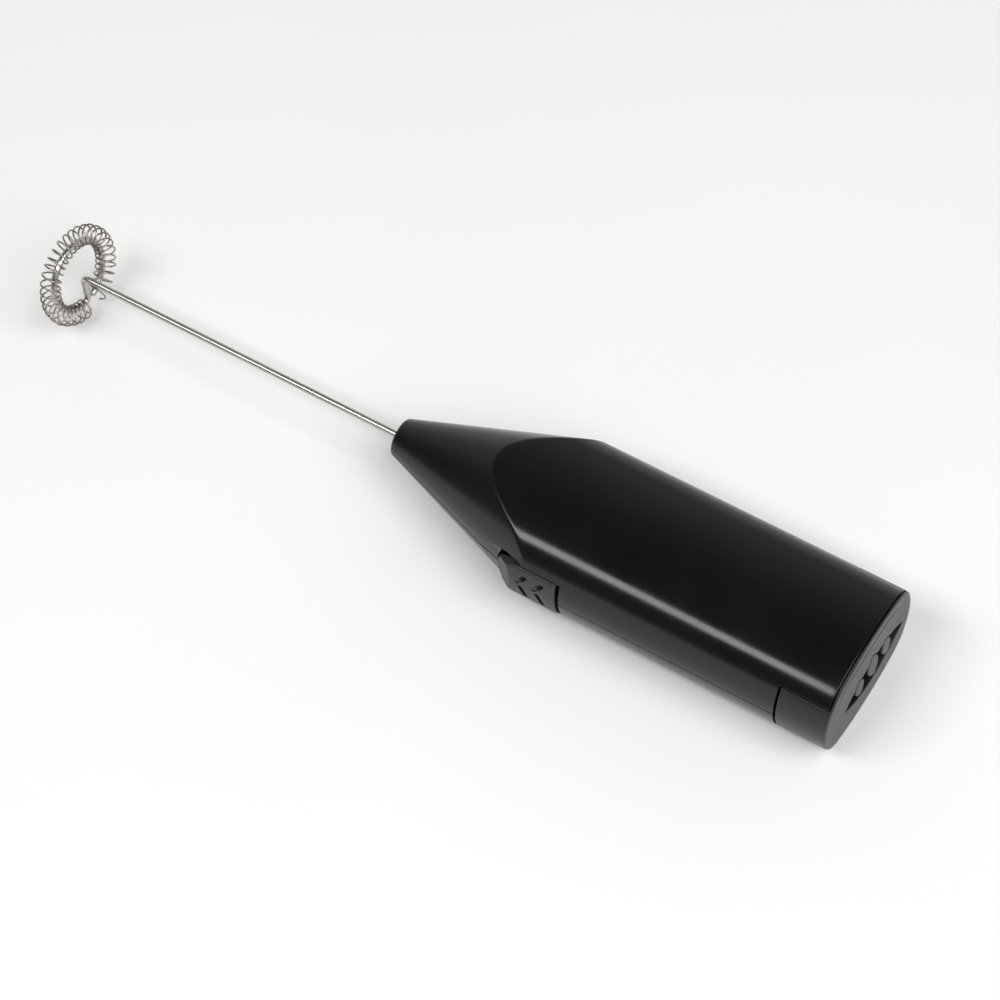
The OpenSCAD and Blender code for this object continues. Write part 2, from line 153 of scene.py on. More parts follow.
def skin(grid, thick, keep=None, wrap=False, known=None):
    """Closed solid of a grid of points: the grid, a copy pushed in by thick, and walls at every open edge.

    The cross product of the row and column directions points outwards; known gives it for some rows.
    """
    rows, cols = grid.shape[:2]
    du = np.gradient(grid, axis=0)
    if wrap:
        dv = (np.roll(grid, -1, axis=1) - np.roll(grid, 1, axis=1))/2
    else:
        dv = np.gradient(grid, axis=1)
    n = np.cross(du, dv)
    n /= np.maximum(np.linalg.norm(n, axis=2, keepdims=True), 1e-12)
    for row, direction in (known or {}).items():
        n[row] = direction
    inner = grid - thick*n
    verts = np.concatenate([grid.reshape(-1, 3), inner.reshape(-1, 3)])
    base = rows*cols
    cells = cols if wrap else cols - 1
    if keep is None:
        keep = np.ones((rows - 1, cells), bool)
    faces, edges = [], {}
    for i, j in zip(*np.nonzero(keep)):
        k = (j + 1) % cols
        a, b, c, d = i*cols + j, (i + 1)*cols + j, (i + 1)*cols + k, i*cols + k
        faces.append((a, b, c, d))
        faces.append((d + base, c + base, b + base, a + base))
        for e in ((a, b), (b, c), (c, d), (d, a)):
            if (e[1], e[0]) in edges:
                del edges[(e[1], e[0])]
            else:
                edges[e] = True
    for a, b in edges:
        faces.append((b, a, a + base, b + base))
    used = sorted(set(i for f in faces for i in f))
    where = {v: i for i, v in enumerate(used)}
    return verts[used], [tuple(where[i] for i in f) for f in faces]


def tube(path, r, sides=16, cap=4):
    """Round wire along a path, with domed ends."""
    p = np.asarray(path, float)
    t = np.gradient(p, axis=0)
    t /= np.linalg.norm(t, axis=1, keepdims=True)
    n = np.cross(t[0], (0.3, 0.9, 0.2))
    n /= np.linalg.norm(n)
    frames = []
    for i in range(len(p)):
        n = n - t[i]*np.dot(n, t[i])
        n /= np.linalg.norm(n)
        frames.append(n)
    frames = np.array(frames)
    b = np.cross(t, frames)
    ang = np.linspace(0, 2*math.pi, sides, endpoint=False)
    ring = np.cos(ang)[None, :, None]*frames[:, None, :] + np.sin(ang)[None, :, None]*b[:, None, :]
    dome = np.linspace(0, math.pi/2*0.92, cap)[1:]
    rings = [p[0] - t[0]*r*math.sin(a) + ring[0]*r*math.cos(a) for a in dome[::-1]]
    rings += list(p[:, None, :] + r*ring)
    rings += [p[-1] + t[-1]*r*math.sin(a) + ring[-1]*r*math.cos(a) for a in dome]
    verts = np.concatenate(rings)
    faces = []
    for i in range(len(rings) - 1):
        for k in range(sides):
            a, c = i*sides + k, i*sides + (k + 1) % sides
            faces.append((a, c, c + sides, a + sides))
    faces.append(tuple(range(sides))[::-1])
    faces.append(tuple((len(rings) - 1)*sides + k for k in range(sides)))
    return verts, faces


def lathe(profile, axis_y=0.0, sides=96, closed=True):
    """Turned solid about the line y = axis_y. profile is (x, r) pairs: a loop if closed, else capped at its ends."""
    verts, faces = [], []
    for x, r in profile:
        for k in range(sides):
            a = 2*math.pi*k/sides
            verts.append((x, axis_y + r*math.cos(a), r*math.sin(a)))
    n = len(profile)
    for i in range(n if closed else n - 1):
        j = (i + 1) % n
        for k in range(sides):
            m = (k + 1) % sides
            faces.append((i*sides + k, j*sides + k, j*sides + m, i*sides + m))
    if not closed:
        faces.append(tuple(range(sides)))
        faces.append(tuple((n - 1)*sides + k for k in range(sides))[::-1])
    return verts, faces


def join(*parts):
    verts, faces, base = [], [], 0
    for v, f in parts:
        verts.append(np.asarray(v, float))
        faces += [tuple(int(i) + base for i in q) for q in f]
        base += len(v)
    return np.concatenate(verts), faces


def flip(part, axis):
    v = np.array(part[0], float)
    v[:, axis] *= -1
    return v, [tuple(reversed(q)) for q in part[1]]


def cad_copy(node, inset, face_inset=0.0):
    """Points (axis millimetres) and faces of a CAD node, with its outer skin drawn in by inset.

    Its end face moves in by face_inset, which only the cap has.
    """
    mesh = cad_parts[node].data
    v = (np.array([q.co for q in mesh.vertices]) - np.array(ORIGIN))/MM
    rho = np.hypot(v[:, 1], v[:, 2])
    theta = np.arctan2(v[:, 2], v[:, 1])
    form = np.minimum(outline_rho(theta), cone_rho(v[:, 0]))
    out = rho > form - 0.12
    v[out, 1:] *= ((form[out] - inset)/rho[out])[:, None]
    # the ends and the notch's edges are drawn back too, so that the gaps between pieces stay open
    near = 0.02
    v[v[:, 0] > BODY_LEN - 0.45, 0] -= inset
    by_tongue = (v[:, 0] < 12) & (np.abs(v[:, 1]) > 11.9)
    if face_inset:
        on_floor = np.abs(v[:, 0] - CAD_RECESS_DEPTH) < near
        recess = on_floor & (np.abs(v[:, 1] - LEAF_Y) < 13) & (np.abs(v[:, 2]) < 8.5)
        v[recess, 0] = CAD_RECESS_DEPTH + 0.8
        v[v[:, 0] < near, 0] += face_inset
        v[v[:, 0] > CAD_TONGUE_X - 0.05, 0] = CAD_TONGUE_X - 0.2
        v[by_tongue & (np.abs(np.abs(v[:, 2]) - CAD_TONGUE_Z) < near), 2] *= (CAD_TONGUE_Z - 0.2)/CAD_TONGUE_Z
    else:
        v[v[:, 0] < CAD_SHELL_X + 0.05, 0] = CAD_SHELL_X + 0.45
        v[np.abs(v[:, 0] - CAD_NOTCH_X) < near, 0] = CAD_NOTCH_X + 0.35
        v[by_tongue & (np.abs(np.abs(v[:, 2]) - CAD_NOTCH_Z) < near), 2] *= (CAD_NOTCH_Z + 0.15)/CAD_NOTCH_Z
    _, first, back = np.unique(np.round(v, 4), axis=0, return_index=True, return_inverse=True)
    back = back.ravel()
    faces = []
    for q in mesh.polygons:
        f = [int(back[i]) for i in q.vertices]
        if len(set(f)) == len(f):
            faces.append(tuple(f))
    return v[first], faces


# ---- shells ----
SHELL_X = 0.8                                   # the shells' end, next to the cap
SEAM = 0.11                                     # half the seam's width
NOTCH_X, NOTCH_Z = 11.75, 8.15                  # notch for the cap's tongue
SLOT_X0, SLOT_X1, SLOT_Z = 61.32, 77.4, 5.62    # slot for the switch
HIDE = 0.02                                     # keeps the skin's walls clear of the CAD's
EDGE = (0, 0.02, 0.05, 0.09, 0.14, 0.2)         # spacing of the lines beside an edge


def steps(*spans):
    """Rising values: each span is (start, end, step)."""
    out = []
    for a, b, s in spans:
        n = max(1, int(round((b - a)/s)))
        out += [a + (b - a)*i/n for i in range(n)]
    out.append(spans[-1][1])
    return sorted(set(round(v, 4) for v in out))


def around(values, edge, sides=(-1, 1)):
    """Adds close values beside an edge, on the sides given, in place of those already there."""
    near = [edge + s*e for s in sides for e in EDGE]
    kept = [v for v in values if abs(v - edge) > max(EDGE) + 0.02 or (1 if v > edge else -1) not in sides]
    return sorted(set(round(v, 4) for v in kept + near))


NARROW_X = 71.6         # where the button starts to narrow; the slot starts further on by the button's travel
SWITCH_TRAVEL = 2.5
BUTTON_FRONT_R = 12.0   # radius of the button's front end, seen along Y
DISH_R, DISH_DEPTH = 4.7, 0.4


def narrowed(z, x, start):
    """z of the slot's or the button's side, drawn in towards the middle at its front end."""
    t = np.clip((x - start)/4.6, 0, 1)*np.clip((82.5 - x)/5, 0, 1)
    t = t*t*(3 - 2*t)
    return z*(1 - 0.2*t*np.clip((8.5 - np.abs(z))/(8.5 - SLOT_Z), 0, 1))


# The nose tip turns in to the bush and a little way down its bore: station and radius
TIP_X = BODY_LEN - 0.4
TIP = [(TIP_X, cone_rho(TIP_X)), (BODY_LEN - 0.22, cone_rho(BODY_LEN - 0.22) - 0.03),
       (BODY_LEN - 0.08, cone_rho(BODY_LEN - 0.08) - 0.12), (BODY_LEN, NOSE_R - 0.34), (BODY_LEN, 3.3),
       (BODY_LEN, 2.8), (BODY_LEN - 0.06, 2.64), (BODY_LEN - 0.2, 2.57), (BODY_LEN - 0.9, 2.56)]


def shell_half():
    """Outer skin of the upper shell, with its seam, notches, switch slot, thumb dish and rounded edges."""
    zs = steps((SEAM, 8.8, 0.4))
    zs = around(zs, SEAM, (1,))
    zs = around(zs, SLOT_Z - HIDE)
    zs = around(zs, NOTCH_Z - HIDE)
    xs = steps((SHELL_X, 12, 1), (12, 60, 2), (60, 68, 0.8), (68, 88, 0.4), (88, BODY_LEN - 0.6, 1))
    xs = around(xs, SHELL_X - HIDE, (1,))
    xs = [x for x in xs if x >= SHELL_X - HIDE]
    xs = around(xs, NOTCH_X - HIDE)
    xs = around(xs, SLOT_X0 + HIDE)
    xs = around(xs, SLOT_X1 - HIDE)
    zs, xs = np.array(zs), np.array(xs)
    middle = np.linspace(0, 1, 84)[1:-1]
    # rows near the slot's front bow back with the button's rounded front
    bow_r = BUTTON_FRONT_R + 0.4
    bow = bow_r - np.sqrt(bow_r**2 - np.minimum(zs, SLOT_Z)**2)
    bow = bow*np.clip((zs[-1] - zs)/(zs[-1] - SLOT_Z), 0, 1)
    near = np.clip(1 - np.abs(xs - SLOT_X1)/4.5, 0, 1)
    near = near*near*(3 - 2*near)
    x_side = xs[:, None] - near[:, None]*bow[None, :]
    side = angle_at(narrowed(zs[None, :] + 0*x_side, x_side, NARROW_X + SWITCH_TRAVEL), np.minimum(x_side, 80))
    far_side = angle_at(zs[None, :], np.minimum(xs, 80)[:, None])
    last = side[:, -1:]
    theta = np.concatenate([side, last + (math.pi - 2*last)*middle[None, :], math.pi - far_side[:, ::-1]], axis=1)
    x0 = xs[:, None] + 0*theta
    x = x0.copy()
    x[:, :len(zs)] = x_side
    rho = form_rho(theta, x)
    # shallow thumb dish ahead of the slot
    dish = np.hypot(x - SLOT_X1 + 0.6, rho*np.sin(theta))/DISH_R
    fade = np.clip((83 - x)/6, 0, 1)
    rho = rho - np.where(np.cos(theta) > 0, DISH_DEPTH*fade*np.clip(1 - dish**5, 0, 1), 0)
    y, z = rho*np.cos(theta), rho*np.sin(theta)
    z0 = z.copy()
    z0[:, :len(zs)] = zs[None, :]
    slot = np.where(y > 0, outside_box(x0, z0, SLOT_X0 + HIDE, SLOT_X1 - HIDE, SLOT_Z - HIDE), 9)
    notch = outside_box(x0, z, -9, NOTCH_X - HIDE, NOTCH_Z - HIDE)
    end = x0 - (SHELL_X - HIDE)
    column = np.arange(theta.shape[1])[None, :]
    by_seam = (column < len(zs)) | (column >= theta.shape[1] - len(zs))
    seam = np.where(by_seam, z, 9) - SEAM*np.minimum(1, rho/12)
    rho = rho - np.maximum.reduce(
        [rounded(slot, 0.14), rounded(notch, 0.1), rounded(end, 0.2), rounded(np.abs(seam), 0.2)])
    grid = np.stack([x, rho*np.cos(theta), rho*np.sin(theta)], axis=2)
    tip_theta = theta[-1]
    for tip_x, tip_r in TIP:
        row = np.stack([tip_x + 0*tip_theta, tip_r*np.cos(tip_theta), tip_r*np.sin(tip_theta)], axis=1)
        grid = np.concatenate([grid, row[None]], axis=0)
    mid = (grid[:-1, :-1] + grid[1:, 1:])/2
    my, mz = mid[..., 1], mid[..., 2].copy()
    mz[:len(xs) - 1, :len(zs) - 1] = ((zs[:-1] + zs[1:])/2)[None, :]
    mx = np.full(mid.shape[:2], BODY_LEN)
    mx[:len(xs) - 1] = ((xs[:-1] + xs[1:])/2)[:, None]
    cut = (mx < NOTCH_X - HIDE) & (mz < NOTCH_Z - HIDE)
    cut |= (mx > SLOT_X0) & (mx < SLOT_X1) & (mz < SLOT_Z - HIDE) & (my > 0)
    return skin(grid[:, ::-1], 0.5, keep=~cut[:, ::-1])


half = shell_half()
half_down = flip(half, 2)


# ---- materials ----
class Nodes:
    """Short names for building a node material."""

    def __init__(self, name):
        self.mat = bpy.data.materials.new(name)
        self.mat.use_nodes = True
        self.tree = self.mat.node_tree
        self.shader = self.tree.nodes["Principled BSDF"]
        self.place = self.node("ShaderNodeTexCoord").outputs["Object"]

    def node(self, kind, **values):
        n = self.tree.nodes.new(kind)
        for k, v in values.items():
            if hasattr(n, k):
                setattr(n, k, v)
            else:
                n.inputs[k.replace("_", " ")].default_value = v
        return n

    def link(self, a, b):
        self.tree.links.new(a, b)

    def spot(self, scale=(1, 1, 1), turn=(0, 0, 0)):
        m = self.node("ShaderNodeMapping")
        m.inputs["Scale"].default_value = scale
        m.inputs["Rotation"].default_value = turn
        self.link(self.place, m.inputs["Vector"])
        return m.outputs["Vector"]

    def noise(self, scale, detail=3.0, rough=0.55, stretch=(1, 1, 1), turn=(0, 0, 0), seed=0.0):
        n = self.node("ShaderNodeTexNoise", noise_dimensions="4D")
        n.inputs["Scale"].default_value = scale
        n.inputs["Detail"].default_value = detail
        n.inputs["Roughness"].default_value = rough
        n.inputs["W"].default_value = seed
        self.link(self.spot(stretch, turn), n.inputs["Vector"])
        return n.outputs["Fac"]

    def ramp(self, value, stops):
        r = self.node("ShaderNodeValToRGB")
        e = r.color_ramp.elements
        e[0].position, e[1].position = stops[0][0], stops[-1][0]
        for at, _ in stops[1:-1]:
            e.new(at)
        for i, (at, c) in enumerate(stops):
            e[i].color = (c, c, c, 1) if isinstance(c, (int, float)) else (*c, 1)
        self.link(value, r.inputs["Fac"])
        return r.outputs["Color"]

    def span(self, value, lo, hi, out_lo, out_hi):
        m = self.node("ShaderNodeMapRange")
        for key, v in (("From Min", lo), ("From Max", hi), ("To Min", out_lo), ("To Max", out_hi)):
            m.inputs[key].default_value = v
        self.link(value, m.inputs["Value"])
        return m.outputs["Result"]

    def math(self, op, a, b):
        m = self.node("ShaderNodeMath", operation=op)
        for i, v in enumerate((a, b)):
            if isinstance(v, (int, float)):
                m.inputs[i].default_value = v
            else:
                self.link(v, m.inputs[i])
        return m.outputs["Value"]

    def mix(self, fac, a, b):
        m = self.node("ShaderNodeMix", data_type="RGBA")
        self.link(fac, m.inputs["Factor"])
        for v, s in ((a, m.inputs["A"]), (b, m.inputs["B"])):
            if isinstance(v, tuple):
                s.default_value = (*v, 1)
            else:
                self.link(v, s)
        return m.outputs["Result"]

    def bump(self, height, strength, distance):
        b = self.node("ShaderNodeBump")
        b.inputs["Strength"].default_value = strength
        b.inputs["Distance"].default_value = distance
        self.link(height, b.inputs["Height"])
        return b.outputs["Normal"]

    def done(self, color=None, rough=None, normal=None, **values):
        for s, v in (("Base Color", color), ("Roughness", rough), ("Normal", normal)):
            if v is None:
                continue
            if isinstance(v, tuple):
                self.shader.inputs[s].default_value = (*v, 1)
            elif isinstance(v, (int, float)):
                self.shader.inputs[s].default_value = v
            else:
                self.link(v, self.shader.inputs[s])
        for k, v in values.items():
            self.shader.inputs[k.replace("_", " ")].default_value = v
        return self.mat


def plastic(name, dark, light, rough, grain=2600.0, grain_depth=0.000003, handled=0.05, seed=0.0, ior=1.5):
    """Moulded plastic: fine grain, faint flow clouds, handling haze and a few hair scratches."""
    m = Nodes(name)
    clouds = m.noise(45, 4, 0.6, seed=seed)
    fine = m.noise(grain, 2, 0.5, seed=seed + 1)
    haze = m.noise(120, 5, 0.65, stretch=(0.6, 1, 1), seed=seed + 2)
    hair = m.ramp(m.noise(900, 1, 0.4, stretch=(0.06, 1, 1), turn=(0.3, 0.2, 0.5), seed=seed + 3),
                  [(0.0, 0), (0.7, 0), (0.74, 1)])
    color = m.mix(m.span(clouds, 0.3, 0.7, 0, 1), dark, light)
    spread = m.span(haze, 0.35, 0.75, rough - handled/2, rough + handled)
    roughness = m.math("ADD", spread, m.math("MULTIPLY", hair, 0.03))
    normal = m.bump(fine, 0.35, grain_depth)
    return m.done(color, roughness, normal, IOR=ior)


def metal(name, dark, light, rough, stretch=(1, 1, 1), scale=900.0, depth=0.000006, seed=0.0, stain=0.0):
    """Metal with drawn or turned marks, drawn out where stretch is small, and slight tone changes."""
    m = Nodes(name)
    lines = m.noise(scale, 3, 0.6, stretch=stretch, seed=seed)
    tone = m.noise(70, 4, 0.6, seed=seed + 1)
    color = m.mix(m.span(tone, 0.3, 0.7, 0, 1), dark, light)
    roughness = m.math("ADD", m.span(lines, 0.3, 0.7, rough*0.75, rough*1.3), m.math("MULTIPLY", tone, stain))
    normal = m.bump(lines, 0.3, depth)
    return m.done(color, roughness, normal, Metallic=1.0)


BLACK = plastic("black_shell", (0.0038, 0.0038, 0.0042), (0.0052, 0.0052, 0.0057), 0.21, ior=1.44)
CAP_BLACK = plastic("black_cap", (0.008, 0.0079, 0.0077), (0.0105, 0.0103, 0.01), 0.34, grain=3200, seed=4.0,
                    ior=1.44)
SWITCH_BLACK = plastic("black_switch", (0.006, 0.0059, 0.0058), (0.0085, 0.0083, 0.0081), 0.4, grain=3400,
                       grain_depth=0.000014, seed=9.0)
WIRE = metal("whisk_steel", (0.44, 0.43, 0.41), (0.56, 0.55, 0.52), 0.26, stretch=(0.05, 1, 1),
             depth=0.000002)
COIL = metal("coil_steel", (0.27, 0.25, 0.225), (0.4, 0.38, 0.345), 0.26, scale=1400, seed=3)
SHAFT = metal("ground_steel", (0.5, 0.5, 0.5), (0.62, 0.62, 0.62), 0.18, stretch=(3, 0.2, 0.2))
NICKEL = metal("nickel_strip", (0.52, 0.49, 0.43), (0.66, 0.63, 0.56), 0.26, stretch=(1, 0.1, 1))
SPRING = metal("spring_wire", (0.5, 0.48, 0.45), (0.64, 0.62, 0.58), 0.22)
BRASS = metal("brass_strip", (0.55, 0.37, 0.14), (0.68, 0.48, 0.2), 0.3, stretch=(0.2, 1, 1), stain=0.08)
BRONZE = metal("oiled_bronze", (0.27, 0.17, 0.08), (0.38, 0.25, 0.12), 0.42, stain=0.1)
CAN = metal("zinc_can", (0.45, 0.45, 0.44), (0.6, 0.6, 0.58), 0.33, stretch=(0.1, 1, 1), stain=0.1)
FERRITE = plastic("ferrite", (0.035, 0.034, 0.034), (0.06, 0.058, 0.056), 0.62, grain=1400, grain_depth=0.00004)
NYLON = plastic("natural_nylon", (0.52, 0.5, 0.43), (0.6, 0.58, 0.51), 0.42)
BELL = plastic("white_nylon", (0.66, 0.64, 0.58), (0.73, 0.71, 0.66), 0.4, seed=2)
ACETAL = plastic("white_acetal", (0.62, 0.61, 0.57), (0.7, 0.69, 0.65), 0.36, seed=5)
PVC = plastic("lead_insulation", (0.012, 0.012, 0.012), (0.02, 0.02, 0.02), 0.45, seed=6)
CASE = metal("cell_case", (0.5, 0.49, 0.46), (0.62, 0.61, 0.58), 0.22, stretch=(0.1, 1, 1), stain=0.06, seed=8)
FIBRE = plastic("insulator_ring", (0.55, 0.53, 0.47), (0.66, 0.63, 0.57), 0.6, grain=1800, grain_depth=0.00002,
                seed=11)
COPPER = metal("brush_copper", (0.5, 0.24, 0.12), (0.62, 0.33, 0.18), 0.3, stain=0.1)


def striped(name, a, b, pitch, axis, rough, metallic, depth):
    """Layers across an axis: stacked laminations or wound wire."""
    m = Nodes(name)
    wave = m.node("ShaderNodeTexWave", wave_type="BANDS", bands_direction=axis)
    wave.inputs["Scale"].default_value = math.pi/(10*pitch)
    wave.inputs["Distortion"].default_value = 0.3
    wave.inputs["Detail"].default_value = 1.0
    m.link(m.place, wave.inputs["Vector"])
    tone = m.noise(160, 4, 0.6)
    color = m.mix(m.math("MULTIPLY", wave.outputs["Fac"], m.span(tone, 0.2, 0.8, 0.5, 1.0)), a, b)
    return m.done(color, m.span(tone, 0.3, 0.7, rough*0.8, rough*1.2), m.bump(wave.outputs["Fac"], 0.6, depth),
                  Metallic=metallic)


LAMINATION = striped("laminations", (0.13, 0.13, 0.14), (0.36, 0.36, 0.37), 0.0005, "X", 0.4, 1.0, 0.00005)
WINDING = striped("enamelled_copper", (0.3, 0.085, 0.02), (0.62, 0.25, 0.08), 0.00035, "X", 0.28, 0.85, 0.0001)


def jacket(name, band_x, side):
    """Cell jacket: a dark printed film, copper-coloured past band_x on the given side."""
    m = Nodes(name)
    x = m.node("ShaderNodeSeparateXYZ")
    m.link(m.place, x.inputs["Vector"])
    band = m.span(x.outputs["X"], band_x - side*0.00002, band_x + side*0.00002, 0, 1)
    cloud = m.noise(60, 4, 0.6)
    body = m.mix(m.span(cloud, 0.3, 0.7, 0, 1), (0.018, 0.018, 0.02), (0.028, 0.028, 0.031))
    color = m.mix(band, body, (0.5, 0.23, 0.09))
    gloss = m.span(m.noise(300, 3, 0.6, seed=2), 0.3, 0.7, 0.2, 0.32)
    normal = m.bump(m.noise(1500, 2, 0.5, seed=4), 0.3, 0.000006)
    return m.done(color, gloss, normal, Metallic=0.5, Coat_Weight=0.4, Coat_Roughness=0.08)


def finish(obj, body, slot, material, *nodes):
    obj.data.materials.clear()
    obj.data.materials.append(material)
    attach(obj, body)
    if nodes:
        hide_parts(*nodes)
    return obj


# ---- pieces of the handle ----
for node, part in (("front_shell", half), ("back_shell", half_down)):
    obj = add_mesh(node + "_moulding", *join(part, cad_copy(node, 0.42)))
    finish(sharpen(obj, 38), "handle", "shell_plastic", BLACK, node)


# ---- end cap ----
CAP_FLANGE, TONGUE_X, TONGUE_Z = 0.4, 11.25, 7.8
LEAF_LEN, LEAF_W, LEAF_DEPTH = 24.3, 8.4, 1.7
# Leaf pads in the recess: centre across and up, length, width
PADS = ((-5.2, 0.4, 7.0, 3.5), (0.3, 0.9, 9.4, 4.2), (5.8, 0.4, 7.0, 3.5))
PAD_GROOVE_LEN, PAD_GROOVE_W = 1.6, 0.9     # how much longer and wider the groove round a pad is
PAD_TURN = math.radians(80)


def leaf_edge(a, length, width):
    """Points of a leaf's edge: two arcs that meet at its tips."""
    r = (length**2 + width**2)/(4*width)
    y = length/2*np.cos(a)
    h = np.sqrt(np.maximum(r*r - y*y, 0)) - (r - width/2)
    return y, np.sign(np.sin(a))*np.maximum(h, 0)


def recess_edge(a, grow):
    """Edge of the grip recess: the leaf, and the groove round each pad where it passes the leaf's edge."""
    y, z = leaf_edge(a, LEAF_LEN + grow, LEAF_W + grow)
    phi, rho = np.arctan2(z, y), np.hypot(y, z)
    for cy, cz, length, width in PADS:
        length, width = length + PAD_GROOVE_LEN, width + PAD_GROOVE_W
        r = (length**2 + width**2)/(4*width) + grow/2
        shift = r - width/2 - grow/2
        reach = np.full(a.shape, 99.0)
        inside = np.full(a.shape, -99.0)
        for side in (-1, 1):
            oy, oz = cy - side*shift*math.sin(PAD_TURN), cz + side*shift*math.cos(PAD_TURN)
            along = np.cos(phi)*oy + np.sin(phi)*oz
            under = along**2 - oy*oy - oz*oz + r*r
            root = np.sqrt(np.maximum(under, 0))
            reach = np.minimum(reach, np.where(under > 0, along + root, -99))
            inside = np.maximum(inside, np.where(under > 0, along - root, 99))
        rho = np.where((reach > np.maximum(inside, 0)) & (phi > 0.1), np.maximum(rho, reach), rho)
    return rho*np.cos(phi), rho*np.sin(phi)


def ring_angles():
    """Directions round the cap, close together beside the tongues' edges."""
    zs = around(steps((0, 8.6, 0.5)), TONGUE_Z)
    first = angle_at(np.array(zs), np.zeros(1))
    quarter = np.concatenate([first, np.linspace(first[-1], math.pi/2, 130)[1:]])
    half_turn = np.concatenate([quarter, math.pi - quarter[::-1][1:]])
    return np.concatenate([half_turn, 2*math.pi - half_turn[::-1][1:-1]])


def cap_skin():
    """Outer skin of the cap, from the tongues' ends over the end face and down into the grip recess."""
    a = ring_angles()
    rows = []
    side_x = around(steps((CAP_FLANGE, TONGUE_X, 0.8)), CAP_FLANGE, (1,))
    side_x = [x for x in around(side_x, TONGUE_X, (-1,)) if x <= TONGUE_X]
    rho0 = outline_rho(a)
    broad = np.abs(np.sin(a))**1.5
    for x in reversed(side_x):
        z = rho0*np.sin(a)
        soft_edge = 0.06*(1 - broad)*np.clip((1.6 - x)/1.2, 0, 1)
        d = np.hypot(np.maximum(CAP_FLANGE - x, 0), np.maximum(TONGUE_Z - np.abs(z), 0))
        d = np.minimum(d, TONGUE_X - x)
        rho = rho0 - rounded(d, 0.15) - soft_edge
        rows.append(np.stack([x + 0*a, rho*np.cos(a), rho*np.sin(a)], axis=1))
    # soft edge to the end face, tighter along the broad sides, then a fine crease there
    tight = ((0.39, 0.0), (0.33, 0.01), (0.26, 0.05), (0.19, 0.12), (0.12, 0.24), (0.06, 0.42), (0.02, 0.65),
             (0.0, 0.95))
    soft = ((0.39, 0.06), (0.32, 0.12), (0.25, 0.2), (0.18, 0.31), (0.11, 0.45), (0.06, 0.62), (0.02, 0.9),
            (0.0, 1.3))
    for (bx, bi), (sx, si) in zip(tight, soft):
        x, inset = sx + (bx - sx)*broad, si + (bi - si)*broad
        rho = rho0 - inset
        rows.append(np.stack([x, rho*np.cos(a), rho*np.sin(a)], axis=1))
    known = {}
    face = np.array([-1.0, 0, 0])
    fade = np.clip(1.6*np.sin(a) - 0.5, 0, 1)
    for inset, x in ((1.9, 0), (2.5, 0), (2.66, 0.0), (2.72, 0.05), (2.8, 0.12), (2.88, 0.12), (2.96, 0.05),
                     (3.02, 0.0)):
        rho = rho0 - inset
        known[len(rows)] = face
        rows.append(np.stack([x*fade, rho*np.cos(a), rho*np.sin(a)], axis=1))
    outer = rows[-1]
    ly, lz = recess_edge(a, 0.3)
    rim = np.stack([0*a, ly + LEAF_Y, lz + LEAF_Z], axis=1)
    for t in np.linspace(0, 1, 10)[1:]:
        known[len(rows)] = face
        rows.append(outer + (rim - outer)*t)
    for grow, x in ((0.2, 0.01), (0.1, 0.05), (0.03, 0.13), (0.0, 0.25), (-0.04, 0.6), (-0.08, LEAF_DEPTH - 0.15),
                    (-0.14, LEAF_DEPTH - 0.04), (-0.26, LEAF_DEPTH)):
        ly, lz = recess_edge(a, grow)
        inward = -np.stack([0*ly, ly, lz], axis=1)
        known[len(rows)] = inward/np.linalg.norm(inward, axis=1, keepdims=True)
        rows.append(np.stack([x + 0*a, ly + LEAF_Y, lz + LEAF_Z], axis=1))
    floor = rows[-1]
    middle = np.array([LEAF_DEPTH, LEAF_Y, LEAF_Z])
    for t in (0.75, 0.5, 0.25, 0.06):
        known[len(rows)] = face
        rows.append(middle + (floor - middle)*t)
    grid = np.array(rows)
    mid = (grid[:-1] + np.roll(grid, -1, axis=1)[1:])/2
    keep = ~((mid[..., 0] > CAP_FLANGE) & (np.abs(mid[..., 2]) > TONGUE_Z))
    keep[len(side_x) - 1:] = True
    return skin(grid, 0.3, keep=keep, wrap=True, known=known)


def cap_pad(cy, cz, length, width):
    """Raised leaf that stands in the recess."""
    c, s = math.cos(PAD_TURN), math.sin(PAD_TURN)
    a = np.linspace(0, 2*math.pi, 64, endpoint=False)
    rows = []
    for grow, x in ((0.14, 1.9), (0.12, 1.0), (0.06, 0.34), (0.0, 0.2), (-0.12, 0.1), (-0.3, 0.06), (-1.2, 0.04),
                    (-2.2, 0.04)):
        ly, lz = leaf_edge(a, length + grow, width + grow)
        ry = LEAF_Y + cy + ly*c - lz*s
        rz = LEAF_Z + cz + ly*s + lz*c
        rows.append(np.stack([x + 0*a, ry, rz], axis=1))
    grid = np.array(rows)
    n = len(a)
    faces = [(i*n + k, (i + 1)*n + k, (i + 1)*n + (k + 1) % n, i*n + (k + 1) % n)
             for i in range(len(rows) - 1) for k in range(n)]
    faces.append(tuple(range(n)))
    faces.append(tuple((len(rows) - 1)*n + k for k in range(n))[::-1])
    return grid.reshape(-1, 3), faces


cap = join(cap_skin(), *[cap_pad(*pad) for pad in PADS], cad_copy("end_cap", 0.28, 0.24))
finish(sharpen(add_mesh("end_cap_moulding", *cap), 42), "cap", "cap_plastic", CAP_BLACK, "end_cap")


# ---- slide switch ----
SWITCH_X, SWITCH_LEN, SWITCH_W = 62.12, 14.88, 11.0
BUTTON_CROWN_R = 24.0                   # flatter than the handle, so the long edges stand a little proud
BEVEL_X, BEVEL_SLOPE = 73.0, 0.5875     # where and how steeply the button falls to its lip
DEEP_Y = 14.9                           # how far in the button reaches
LIP_LEN, LIP_GAP = 2.75, 0.17           # the lip runs over the cone, just clear of it


def button_lines(length, edge_lines, middle_lines):
    """Rising values from 0 to length, close together within 0.35 of both ends."""
    near = 0.35
    spans = [np.linspace(0, near, edge_lines), np.linspace(near, length - near, middle_lines),
             np.linspace(length - near, length, edge_lines)]
    return np.unique(np.round(np.concatenate(spans), 4))


